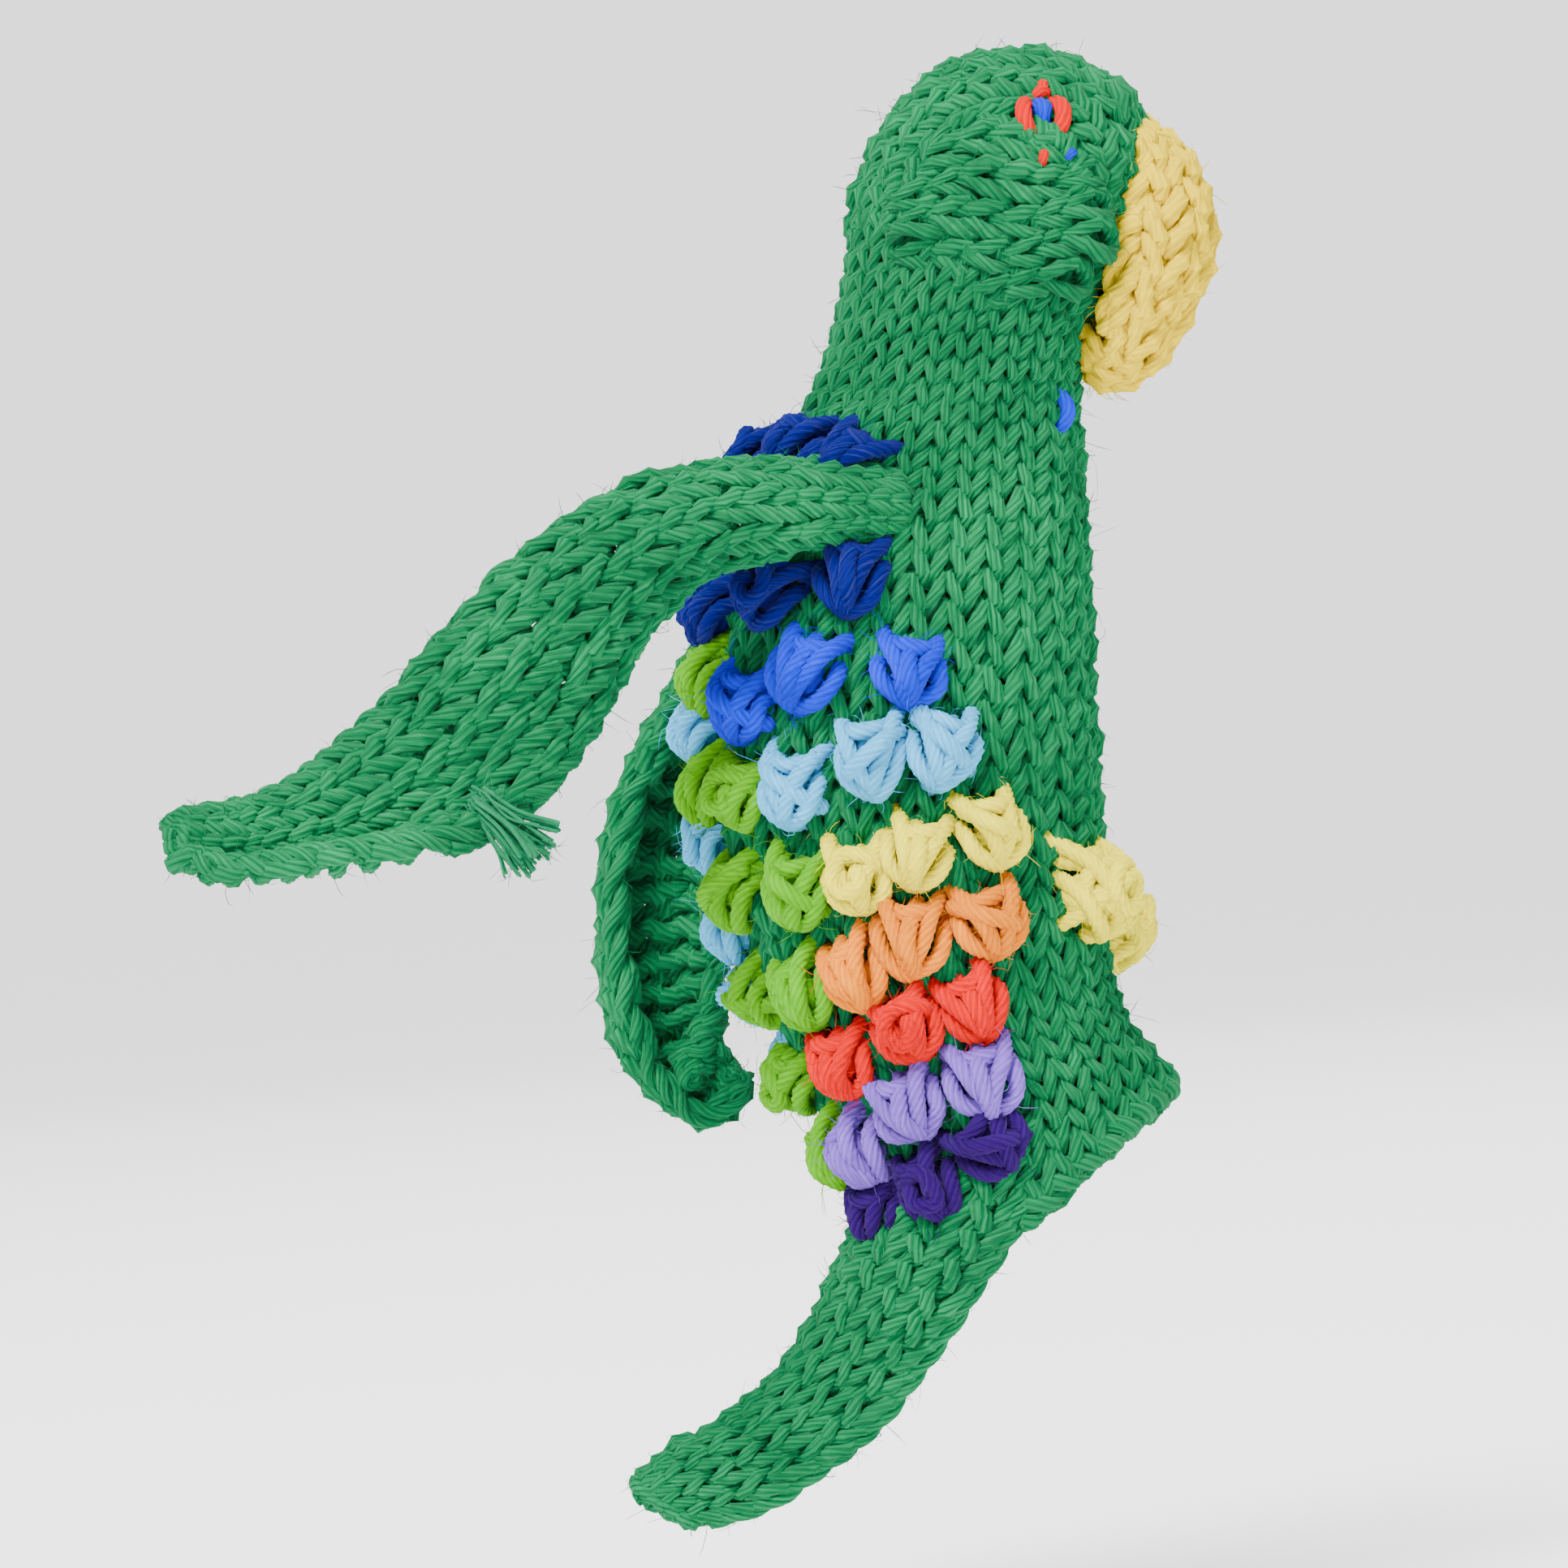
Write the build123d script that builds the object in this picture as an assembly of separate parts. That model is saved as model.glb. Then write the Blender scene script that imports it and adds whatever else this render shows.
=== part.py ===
"""Knitted parrot finger puppet, as an assembly of its separate knitted and sewn pieces.

Row frame: +X forwards (the beak's side), +Y the bird's left, +Z up along the finger's axis.
The origin is on that axis, at the mouth of the round seat that grips the fingertip.
Heights below are counted from the slanted mouth of the trunk, and export lowers all by SEAT_LOW.
Lengths are in millimetres.
"""

import math
import os

from build123d import *

# Driving sizes of the knitting.
WALL = 2.2  # thickness of the knitted fabric
MOVING_GAP = 0.35  # space between two pieces that move against each other
STITCH_GAP = 0.12  # space between the stuffing and the head that holds it

# The finger's way in.
SEAT_RADIUS = 7.0  # the round seat that grips the fingertip
SEAT_LOW = 46.0
SEAT_HIGH = 58.0
PASSAGE_RADIUS = 7.3  # free way from the mouth to the seat
MOUTH_SLOPE = 36.0  # degrees that the mouth's plane rises towards the front
RIM_HEIGHT = 2.0  # the edging along the mouth

# Joint centres in the plane of symmetry, as (x, z).
NECK_PIVOT = (0.3, 62.5)
NECK_BALL_RADIUS = 7.9
NECK_LEDGE = 61.2  # the trunk is no wider than its ball above this
HEAD_SKIRT = 66.5  # lowest level of the head
TAIL_PIVOT = (-8.9, -4.5)
TAIL_KNUCKLE_RADIUS = 5.9

# Shoulders: where the root of each wing is gathered and sewn on.
SHOULDER_X = -5.5
SHOULDER_Y = 12.1
SHOULDER_Z = 53.9
SHOULDER_KNOT_RADIUS = 2.0
SHOULDER_STEM_RADIUS = 1.5

# Feathers: knotted bobbles that stand on the back.
BOBBLE_RADIUS = 2.1
COLLAR_BOBBLE_RADIUS = 1.9
ROW_PITCH = 6.25
LOWEST_ROW = 4.8
ROW_SLANT = 0.03  # rise of a row towards the front, in millimetres a degree
FOOT_RADIUS = 2.9
SEWN_GAP = 0.1  # space left under whatever is sewn onto the knitting

# Level cuts through the trunk, as (height, back, front, half width).
TRUNK_CUTS = [
    (-12.0, -12.4, 14.6, 9.6),
    (2.0, -12.4, 13.6, 9.6),
    (14.0, -15.2, 10.4, 10.3),
    (28.0, -19.6, 9.6, 11.0),
    (40.0, -19.2, 9.6, 10.7),
    (52.0, -15.6, 9.8, 10.0),
    (63.0, -9.6, 9.4, 8.9),
]

# Level cuts through the head, and the top of its crown.
HEAD_CUTS = [
    (62.0, -8.6, 9.0, 8.6),
    (68.0, -7.4, 11.4, 8.9),
    (75.0, -5.5, 15.2, 9.4),
    (81.0, -2.8, 16.8, 8.2),
    (85.0, 1.2, 14.6, 5.4),
]
CROWN = (8.1, 0.0, 86.95)
STUFFING_LOW = 73.2
STUFFING_HIGH = 84.6

# Cuts along the beak, as (x, z, half depth, half width).
BEAK_CUTS = [
    (16.0, 81.6, 1.1, 1.9),
    (17.7, 78.6, 2.2, 3.5),
    (18.2, 75.0, 2.9, 4.5),
    (17.8, 71.0, 3.0, 4.8),
    (16.4, 67.0, 3.0, 4.5),
    (14.4, 63.9, 2.7, 3.8),
    (12.2, 62.6, 2.0, 2.9),
    (10.6, 63.9, 1.1, 1.8),
]

# Cuts along the tail, as (x, z, half depth, half width).
TAIL_CUTS = [
    (-8.3, 2.4, 6.0, 9.2),
    (-8.9, -4.5, 6.2, 8.8),
    (-12.0, -9.2, 5.4, 6.4),
    (-15.6, -12.9, 4.8, 4.0),
    (-20.2, -15.9, 4.2, 2.7),
    (-25.2, -17.6, 3.2, 2.3),
    (-29.3, -18.3, 1.7, 1.8),
]

# Cuts along each wing, as (x, distance from the plane of symmetry, z, half width).
ON_ITS_BASE = (Align.CENTER, Align.CENTER, Align.MIN)
WING_HALF_THICKNESS = 1.35
RAISED_WING_CUTS = [
    (-6.5, 12.6, 54.0, 1.7),
    (-11.8, 14.8, 54.3, 2.9),
    (-17.0, 16.4, 54.0, 4.0),
    (-22.0, 17.8, 52.9, 5.0),
    (-27.6, 19.2, 48.8, 5.7),
    (-33.6, 20.8, 42.6, 5.6),
    (-40.2, 22.8, 37.2, 5.2),
    (-47.2, 25.4, 34.5, 4.4),
    (-53.8, 27.8, 33.9, 3.0),
    (-59.2, 29.6, 34.4, 1.6),
]
HANGING_WING_CUTS = [
    (-6.5, 12.6, 53.6, 1.7),
    (-11.6, 15.0, 51.2, 2.9),
    (-16.6, 16.8, 47.2, 4.0),
    (-21.0, 18.0, 41.2, 5.0),
    (-24.2, 18.6, 34.0, 5.5),
    (-25.6, 18.6, 26.6, 5.3),
    (-25.4, 18.0, 20.0, 4.6),
    (-23.8, 17.0, 14.4, 3.5),
    (-21.2, 16.2, 11.2, 1.9),
]


def level_ellipse(cut, inset=0.0):
    """A level cut as a face, smaller all round by inset."""
    height, back, front, half_width = cut
    centre = Plane(origin=((back + front) / 2, 0, height))
    return centre * Ellipse((front - back) / 2 - inset, half_width - inset)


def surface_plane(base, height, angle):
    """Plane that touches a solid's outside, with +Z outwards. Angle 0 is the spine, 90 the right."""
    turn = math.radians(angle)
    outwards = Vector(-math.cos(turn), -math.sin(turn), 0)
    axis_x = 0 if height < NECK_LEDGE else 6.0
    ray = Axis((axis_x, 0, height), tuple(outwards))
    point, normal = base.find_intersection_points(ray)[-1]
    if normal.dot(outwards) < 0:
        normal = -normal
    return Plane(origin=point, x_dir=Vector(0, 0, 1).cross(normal), z_dir=normal)


def loft_along(cuts, plane_of, shape_of):
    """A smooth solid through one face at each cut, square to the path through their centres."""
    centres = [plane_of(cut) for cut in cuts]
    faces = []
    for i, cut in enumerate(cuts):
        before, after = centres[max(i - 1, 0)], centres[min(i + 1, len(cuts) - 1)]
        along = (after - before).normalized()
        faces.append(shape_of(cut, centres[i], along))
    return loft(faces)


def upright_face(cut, centre, along):
    """An ellipse across a path that lies in the plane of symmetry."""
    depth, width = cut[2], cut[3]
    return Plane(origin=centre, x_dir=(0, 1, 0), z_dir=along) * Ellipse(width, depth)


def ball_at(x, y, z, radius):
    return Pos(x, y, z) * Sphere(radius)


def bar_across(x, z, radius):
    """A round bar along Y, through (x, z)."""
    return Pos(x, 0, z) * (Rot(90, 0, 0) * Cylinder(radius, 60))


def mouth_slab(low, high):
    """What lies between two planes parallel to the mouth's, low and high above it."""
    block = Pos(0, 0, (low + high) / 2) * Box(80, 80, high - low)
    return Rot(0, -MOUTH_SLOPE, 0) * block


def make_trunk():
    """The knitted tube of the trunk, the edging along its mouth, and the trunk's outer form."""
    outer = loft([level_ellipse(cut) for cut in TRUNK_CUTS])
    ball = ball_at(NECK_PIVOT[0], 0, NECK_PIVOT[1], NECK_BALL_RADIUS)
    above_ledge = Pos(0, 0, NECK_LEDGE + 20) * Box(60, 60, 40)
    whole = (outer - above_ledge) + ball
    loose_cuts = [cut for cut in TRUNK_CUTS if cut[0] < SEAT_LOW]
    loose = loft([level_ellipse(cut, WALL) for cut in loose_cuts])
    top = loose_cuts[-1]
    seat_face = Plane(origin=(0, 0, SEAT_LOW)) * Circle(SEAT_RADIUS)
    narrowing = loft([level_ellipse(top, WALL), seat_face])
    seat = Pos(0, 0, (SEAT_LOW + SEAT_HIGH) / 2) * Cylinder(SEAT_RADIUS, SEAT_HIGH - SEAT_LOW)
    seat_end = Pos(0, 0, SEAT_HIGH) * Sphere(SEAT_RADIUS, arc_size1=0, align=ON_ITS_BASE)
    passage = Pos(0, 0, (SEAT_LOW - 30) / 2) * Cylinder(PASSAGE_RADIUS, SEAT_LOW + 30)
    wall = whole - loose - narrowing - passage - seat - seat_end
    x, z = TAIL_PIVOT
    below_tail = Pos(x - 20, 0, z - 20) * Box(50, 60, 40)
    wall = wall - mouth_slab(-60, 0) - below_tail
    wall = wall - bar_across(x, z, TAIL_KNUCKLE_RADIUS + MOVING_GAP)
    return wall - mouth_slab(0, RIM_HEIGHT), wall & mouth_slab(0, RIM_HEIGHT), outer


def make_head():
    """The knitted head, the stuffing inside it, and the head's outer form."""
    outer = loft([level_ellipse(cut) for cut in HEAD_CUTS] + [Vertex(*CROWN)])
    below = Pos(0, 0, HEAD_SKIRT - 20) * Box(60, 60, 40)
    socket = ball_at(NECK_PIVOT[0], 0, NECK_PIVOT[1], NECK_BALL_RADIUS + MOVING_GAP)

    def inside(gap):
        room = loft([level_ellipse(cut, WALL + gap) for cut in HEAD_CUTS[1:]])
        middle = (STUFFING_LOW + STUFFING_HIGH) / 2
        depth = STUFFING_HIGH - STUFFING_LOW - 2 * gap
        return room & (Pos(0, 0, middle) * Box(60, 60, depth))

    return outer - below - socket - inside(0), inside(STITCH_GAP), outer


def make_beak(head):
    path = loft_along(BEAK_CUTS, lambda cut: Vector(cut[0], 0, cut[1]), upright_face)
    socket = ball_at(NECK_PIVOT[0], 0, NECK_PIVOT[1], NECK_BALL_RADIUS + 1.2)
    return path - head - socket


def make_tail():
    """The tail with the finger's way kept clear through its root."""
    tail = loft_along(TAIL_CUTS, lambda cut: Vector(cut[0], 0, cut[1]), upright_face)
    knuckle = bar_across(*TAIL_PIVOT, TAIL_KNUCKLE_RADIUS)
    x, z = TAIL_PIVOT
    above = Pos(x, 0, z + 20) * Box(60, 60, 40)
    upper, lower = tail & above & knuckle, tail - above
    finger = Pos(0, 0, -10) * Cylinder(PASSAGE_RADIUS, 60)
    return (upper + lower) - finger


def make_wing(cuts, side):
    """One wing, side -1 for the bird's right. Its root is cut round the shoulder's knot."""

    def place(cut):
        return Vector(cut[0], side * cut[1], cut[2])

    def face(cut, centre, along):
        outwards = Vector(0.0, side, 0.0)
        across = along.cross(outwards).normalized()
        return Plane(origin=centre, x_dir=across, z_dir=along) * Ellipse(cut[3], WING_HALF_THICKNESS)

    wing = loft_along(cuts, place, face)
    socket = ball_at(SHOULDER_X, side * SHOULDER_Y, SHOULDER_Z, SHOULDER_KNOT_RADIUS + MOVING_GAP)
    return wing - socket


def bobble(base, height, angle, radius):
    """A round bobble sewn onto the knitting: a ball with a flat underside."""
    dome = Sphere(radius, arc_size1=-20, align=ON_ITS_BASE)
    return surface_plane(base, height, angle) * (Pos(0, 0, SEWN_GAP) * dome)


def feather_row(base, row, angles):
    """The bobbles of one row of feathers, at these angles from the spine."""
    height = LOWEST_ROW + ROW_PITCH * row
    middle = abs(angles[len(angles) // 2])
    return [
        bobble(base, height + ROW_SLANT * (abs(angle) - middle), angle, BOBBLE_RADIUS)
        for angle in angles
    ]


def make_feathers(trunk):
    """Each colour's bobbles on each side of the back, as {name: solids}."""
    rows = {
        "purple": (0, (31, 55, 80)),
        "lilac": (1, (38, 61, 84)),
        "red": (2, (52, 73, 95)),
        "orange": (3, (63, 83, 104)),
        "pale_yellow": (4, (69, 89, 110)),
        "sky_blue": (5, (58, 79, 100)),
        "royal_blue": (6, (34, 58, 88)),
        "navy": (7, (27, 50, 74)),
    }
    made = {}
    for colour, (row, angles) in rows.items():
        made[f"feathers_{colour}_right"] = feather_row(trunk, row, angles)
        made[f"feathers_{colour}_left"] = feather_row(trunk, row, [-a for a in angles])
    spine_right = [(1, (13,)), (2, (8, 30)), (3, (18, 40)), (4, (23, 45)), (5, (13, 35)), (6, (11,))]
    spine_left = [(1, (-14,)), (2, (-18,)), (3, (-9, -34)), (4, (-6, -32)), (5, (-16,)), (6, (-14,))]
    for name, spots in (("lime_spine", spine_right), ("sky_blue_spine", spine_left)):
        made[f"feathers_{name}"] = [
            feather for row, angles in spots for feather in feather_row(trunk, row, angles)
        ]
    collar = [(58.9, 12), (58.3, 36), (57.9, 61)]
    for name, side in (("right", 1), ("left", -1)):
        made[f"feathers_navy_collar_{name}"] = [
            bobble(trunk, height, side * angle, COLLAR_BOBBLE_RADIUS) for height, angle in collar
        ]
    return made


def make_face(head, side):
    """One eye: its red ring and blue pupil. Side is 1 for the bird's right."""
    ring = Pos(0, 0, 0.5 + SEWN_GAP) * scale(Torus(1.35, 0.5), by=(1.0, 1.2, 1.0))
    pupil = Pos(0, 0, 0.8 + SEWN_GAP) * scale(Sphere(0.62), by=(1.0, 1.5, 1.3))
    lies_on = surface_plane(head, 81.3, side * 99.0)
    return lies_on * ring, lies_on * pupil


def make_shoulder_knot(base, side):
    """The gathered yarn that holds a wing: a ball on a short stem from the trunk."""
    stem = Pos(0, 0, -SHOULDER_Y / 2) * Cylinder(SHOULDER_STEM_RADIUS, SHOULDER_Y)
    lies_along = Plane(origin=(SHOULDER_X, side * SHOULDER_Y, SHOULDER_Z), z_dir=(0, side, 0))
    return lies_along * (stem + Sphere(SHOULDER_KNOT_RADIUS)) - base


def make_yarn_end():
    """The loose end of yarn left under the raised wing's lower edge."""
    strand = Pos(-36.0, -20.2, 33.9) * (Rot(0, -35, 0) * Cone(1.9, 0.9, 4.6))
    wing = make_wing(RAISED_WING_CUTS, -1)
    return strand - wing


def group(solids):
    return Compound(children=[solid for shape in solids for solid in shape.solids()])


def main():
    trunk_tube, rim_edging, trunk = make_trunk()
    head_tube, stuffing, head = make_head()
    parts = {
        "trunk_tube": trunk_tube,
        "rim_edging": rim_edging,
        "head_tube": head_tube,
        "head_stuffing": stuffing,
        "beak": make_beak(head),
        "tail": make_tail(),
        "wing_right": make_wing(RAISED_WING_CUTS, -1),
        "wing_left": make_wing(HANGING_WING_CUTS, 1),
        "wing_yarn_end": make_yarn_end(),
    }
    for name, side in (("right", -1), ("left", 1)):
        parts[f"shoulder_knot_{name}"] = make_shoulder_knot(trunk, side)
        parts[f"eye_ring_{name}"], parts[f"eye_pupil_{name}"] = make_face(head, -side)
        stitch = Pos(0, 0, 0.72 + SEWN_GAP) * scale(Sphere(0.6), by=(1.0, 2.6, 1.2))
        parts[f"throat_stitch_{name}"] = surface_plane(trunk, 58.6, -side * 143.0) * stitch
    for name, height, angle in (("foot_right", 23.5, 143.0), ("foot_left", 22.6, -167.0)):
        parts[name] = bobble(trunk, height, angle, FOOT_RADIUS)
    parts = {name: [shape] for name, shape in parts.items()}
    parts.update(make_feathers(trunk))
    os.makedirs("parts", exist_ok=True)
    for name, shapes in parts.items():
        export_step(Pos(0, 0, -SEAT_LOW) * group(shapes), f"parts/{name}.step")


main()
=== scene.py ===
"""Knitted parrot finger puppet: yarn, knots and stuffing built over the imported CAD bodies.

Row frame: +X forwards, +Y the bird's left, +Z up along the finger's axis, metres. Shapes are
laid out in millimetres with heights counted from the slanted mouth of the trunk.
"""

import math

import bmesh
import bpy
import numpy as np
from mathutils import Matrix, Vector


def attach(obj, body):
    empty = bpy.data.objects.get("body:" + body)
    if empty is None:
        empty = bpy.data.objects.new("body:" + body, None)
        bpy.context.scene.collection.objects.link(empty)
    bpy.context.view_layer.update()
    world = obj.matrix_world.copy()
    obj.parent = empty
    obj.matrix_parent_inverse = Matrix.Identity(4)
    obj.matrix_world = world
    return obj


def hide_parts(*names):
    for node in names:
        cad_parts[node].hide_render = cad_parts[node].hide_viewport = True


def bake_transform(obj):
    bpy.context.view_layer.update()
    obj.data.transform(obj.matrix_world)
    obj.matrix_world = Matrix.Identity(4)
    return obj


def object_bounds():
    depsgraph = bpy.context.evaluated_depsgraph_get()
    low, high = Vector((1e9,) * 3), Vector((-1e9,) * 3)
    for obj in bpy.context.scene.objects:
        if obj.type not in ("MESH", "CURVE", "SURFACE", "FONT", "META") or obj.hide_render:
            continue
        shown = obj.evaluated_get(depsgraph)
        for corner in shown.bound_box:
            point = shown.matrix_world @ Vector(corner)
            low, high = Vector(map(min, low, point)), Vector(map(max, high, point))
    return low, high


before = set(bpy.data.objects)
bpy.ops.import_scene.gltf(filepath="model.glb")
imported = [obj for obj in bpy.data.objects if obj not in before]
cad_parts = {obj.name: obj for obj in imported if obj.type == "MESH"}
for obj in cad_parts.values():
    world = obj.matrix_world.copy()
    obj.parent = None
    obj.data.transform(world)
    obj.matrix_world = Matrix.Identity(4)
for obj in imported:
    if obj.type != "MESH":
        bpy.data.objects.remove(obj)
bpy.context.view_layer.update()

MM = 0.001
SEAT = 46.0  # height of the finger's seat, the row's origin, above the trunk's mouth
YARN = 0.62  # radius of the yarn
PLIES = 7
PLY_POINTS = 3  # points round each ply, the first of them in the furrow beside it
FURROW = 0.85  # how far out a furrow lies, where the plies' faces lie at 1
SIDES = PLIES * PLY_POINTS
PLY_TURN = 7.5  # length of yarn in which its plies turn once
KNOT_PLY_TURN = 5.2  # the same for the knots' tighter yarn
STEPS = 13  # points along one knitted loop
LEAN = 0.29  # how far a loop's legs lean, in wales
RISE = 0.93  # half the height of a loop, in rows
DEPTH = 0.70  # half the distance between a loop's legs and its arcs, across the fabric

rng = np.random.default_rng(7)


# ---------------------------------------------------------------- camera and light


def add_camera():
    """The camera looks level along +Y, rolled a little, with the whole puppet in its view."""
    roll = math.radians(4.35)
    width, lens, sensor = 0.1155, 150.0, 36.0  # view's width at the puppet, lens and film
    data = bpy.data.cameras.new("camera")
    data.lens, data.sensor_width = lens, sensor
    data.clip_end = 20.0
    camera = bpy.data.objects.new("camera", data)
    bpy.context.scene.collection.objects.link(camera)
    camera.location = (-0.0135, -width * lens / sensor, (34.25 - SEAT) * MM)
    camera.rotation_euler = (math.radians(90), 0, 0)
    camera.rotation_euler.rotate_axis("Z", -roll)
    bpy.context.scene.camera = camera


def add_light(name, place, aim, size, power):
    data = bpy.data.lights.new(name, "AREA")
    data.shape, data.size, data.energy = "DISK", size, power
    lamp = bpy.data.objects.new(name, data)
    lamp.location = place
    lamp.rotation_euler = (Vector(aim) - Vector(place)).to_track_quat("-Z", "Y").to_euler()
    bpy.context.scene.collection.objects.link(lamp)


def add_studio():
    """A pale floor that bends up into a pale wall, and soft light from all round."""
    bm = bmesh.new()
    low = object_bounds()[0].z - 0.012
    near, bend, radius, half, top = -3.0, 1.2, 0.8, 4.0, 3.0
    line = [(near, low), (bend, low)]
    line += [
        (bend + radius * math.sin(a), low + radius - radius * math.cos(a))
        for a in np.radians(np.arange(10, 91, 10))
    ]
    line.append((bend + radius, top))
    verts = [bm.verts.new((-half, y, z)) for y, z in line]
    edges = [bm.edges.new(pair) for pair in zip(verts, verts[1:])]
    made = bmesh.ops.extrude_edge_only(bm, edges=edges)["geom"]
    moved = [v for v in made if isinstance(v, bmesh.types.BMVert)]
    bmesh.ops.translate(bm, verts=moved, vec=(2 * half, 0, 0))
    bmesh.ops.recalc_face_normals(bm, faces=bm.faces)
    mesh = bpy.data.meshes.new("studio_floor")
    bm.to_mesh(mesh)
    bm.free()
    mesh.polygons.foreach_set("use_smooth", [True] * len(mesh.polygons))
    floor = bpy.data.objects.new("studio_floor", mesh)
    bpy.context.scene.collection.objects.link(floor)
    material = bpy.data.materials.new("studio_floor")
    material.use_nodes = True
    shader = material.node_tree.nodes["Principled BSDF"]
    shader.inputs["Base Color"].default_value = (1, 1, 1, 1)
    shader.inputs["Roughness"].default_value = 0.9
    shader.inputs["Emission Color"].default_value = (1, 1, 1, 1)
    shader.inputs["Emission Strength"].default_value = 0.45
    mesh.materials.append(material)
    world = bpy.data.worlds.new("studio")
    world.use_nodes = True
    world.node_tree.nodes["Background"].inputs["Color"].default_value = (1, 1, 1, 1)
    world.node_tree.nodes["Background"].inputs["Strength"].default_value = 0.9
    bpy.context.scene.world = world
    add_light("key", (-0.3, -0.6, 0.75), (0, 0, 0), 0.45, 25)
    add_light("fill", (0.6, -0.7, 0.1), (0, 0, 0), 0.7, 4)
    add_light("rim", (0.1, 0.7, 0.7), (0, 0, 0), 0.6, 7)


# ---------------------------------------------------------------- yarn material


def link(tree, start, end):
    tree.links.new(start, end)


def fibre_group():
    """Colour, roughness and height of spun fibre, from each strand's own length and girth, and
    painted shade darkening the furrows between its plies.
    """
    group = bpy.data.node_groups.new("SpunFibre", "ShaderNodeTree")
    for name, kind, value in (
        ("Colour", "NodeSocketColor", (0.5, 0.5, 0.5, 1)),
        ("Dark Tone And Furrow Shade", "NodeSocketColor", (0.1, 0.1, 0.1, 1)),
        ("Pale Colour", "NodeSocketColor", (0.8, 0.8, 0.8, 1)),
        ("Streaks", "NodeSocketFloat", 0.5),
    ):
        socket = group.interface.new_socket(name, in_out="INPUT", socket_type=kind)
        socket.default_value = value
    for name, kind in (
        ("Colour", "NodeSocketColor"),
        ("Roughness", "NodeSocketFloat"),
        ("Height", "NodeSocketFloat"),
    ):
        group.interface.new_socket(name, in_out="OUTPUT", socket_type=kind)
    node = group.nodes.new
    inside, outside = node("NodeGroupInput"), node("NodeGroupOutput")
    strand = node("ShaderNodeAttribute")
    strand.attribute_name = "strand"
    ply = node("ShaderNodeAttribute")
    ply.attribute_name = "ply"
    place = node("ShaderNodeTexCoord")

    streak = node("ShaderNodeTexNoise")
    streak.inputs["Scale"].default_value = 1.0
    streak.inputs["Detail"].default_value = 4.0
    streak.inputs["Roughness"].default_value = 0.65
    link(group, strand.outputs["Vector"], streak.inputs["Vector"])

    tone = node("ShaderNodeTexNoise")
    tone.inputs["Scale"].default_value = 260.0
    tone.inputs["Detail"].default_value = 3.0
    link(group, place.outputs["Object"], tone.inputs["Vector"])

    blotch = node("ShaderNodeTexNoise")
    blotch.inputs["Scale"].default_value = 60.0
    link(group, place.outputs["Object"], blotch.inputs["Vector"])

    def mix(factor, low, high):
        made = node("ShaderNodeMix")
        made.data_type = "RGBA"
        link(group, factor, made.inputs["Factor"])
        link(group, low, made.inputs["A"])
        link(group, high, made.inputs["B"])
        return made.outputs["Result"]

    def spread(value, low, high, to_low=0.0, to_high=1.0):
        made = node("ShaderNodeMapRange")
        made.inputs["From Min"].default_value = low
        made.inputs["From Max"].default_value = high
        made.inputs["To Min"].default_value = to_low
        made.inputs["To Max"].default_value = to_high
        link(group, value, made.inputs["Value"])
        return made.outputs["Result"]

    def times(a, b):
        made = node("ShaderNodeMath")
        made.operation = "MULTIPLY"
        link(group, a, made.inputs[0])
        link(group, b, made.inputs[1])
        return made.outputs["Value"]

    fibre, dark_tone_and_furrow_shade = streak.outputs["Fac"], inside.outputs["Dark Tone And Furrow Shade"]
    lit = times(spread(fibre, 0.5, 0.7), inside.outputs["Streaks"])
    colour = mix(lit, inside.outputs["Colour"], inside.outputs["Pale Colour"])
    # Darkens towards the dark colour: random dark fibres, tone and blotches, and last, painted
    # shade in the furrows between the plies.
    for shade in (
        spread(fibre, 0.5, 0.32, 0.0, 0.6),
        spread(tone.outputs["Fac"], 0.62, 0.35, 0.0, 0.3),
        spread(blotch.outputs["Fac"], 0.6, 0.4, 0.0, 0.3),
        spread(ply.outputs["Fac"], 1.0, 0.0, 0.0, 0.6),
    ):
        colour = mix(shade, colour, dark_tone_and_furrow_shade)
    link(group, colour, outside.inputs["Colour"])
    link(group, spread(fibre, 0.3, 0.7, 0.95, 0.75), outside.inputs["Roughness"])
    link(group, fibre, outside.inputs["Height"])
    return group


def yarn_material(name, colour, dark_tone_and_furrow_shade=0.32, pale=0.35):
    """A dyed yarn. dark_tone_and_furrow_shade is how dark its random dark fibres, tones and
    blotches and its painted furrow shade are, pale how far its lit fibres fade.
    """
    linear = [((c + 0.055) / 1.055) ** 2.4 if c > 0.04 else c / 12.92 for c in colour]
    material = bpy.data.materials.new(name)
    material.use_nodes = True
    tree = material.node_tree
    shader = tree.nodes["Principled BSDF"]
    fibre = tree.nodes.new("ShaderNodeGroup")
    fibre.node_tree = FIBRE
    fibre.inputs["Colour"].default_value = (*linear, 1)
    fibre.inputs["Dark Tone And Furrow Shade"].default_value = (*[c * dark_tone_and_furrow_shade for c in linear], 1)
    fibre.inputs["Pale Colour"].default_value = (*[c + (0.9 - c) * pale for c in linear], 1)
    fibre.inputs["Streaks"].default_value = 0.55
    bump = tree.nodes.new("ShaderNodeBump")
    bump.inputs["Strength"].default_value = 0.8
    bump.inputs["Distance"].default_value = 0.0002
    link(tree, fibre.outputs["Colour"], shader.inputs["Base Color"])
    link(tree, fibre.outputs["Roughness"], shader.inputs["Roughness"])
    link(tree, fibre.outputs["Height"], bump.inputs["Height"])
    link(tree, bump.outputs["Normal"], shader.inputs["Normal"])
    shader.inputs["Specular IOR Level"].default_value = 0.06
    shader.inputs["Sheen Weight"].default_value = 0.25
    shader.inputs["Sheen Roughness"].default_value = 0.45
    shader.inputs["Sheen Tint"].default_value = (*[0.12 + 0.88 * c for c in linear], 1)
    return material


# ---------------------------------------------------------------- spinning yarn into meshes


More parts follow.
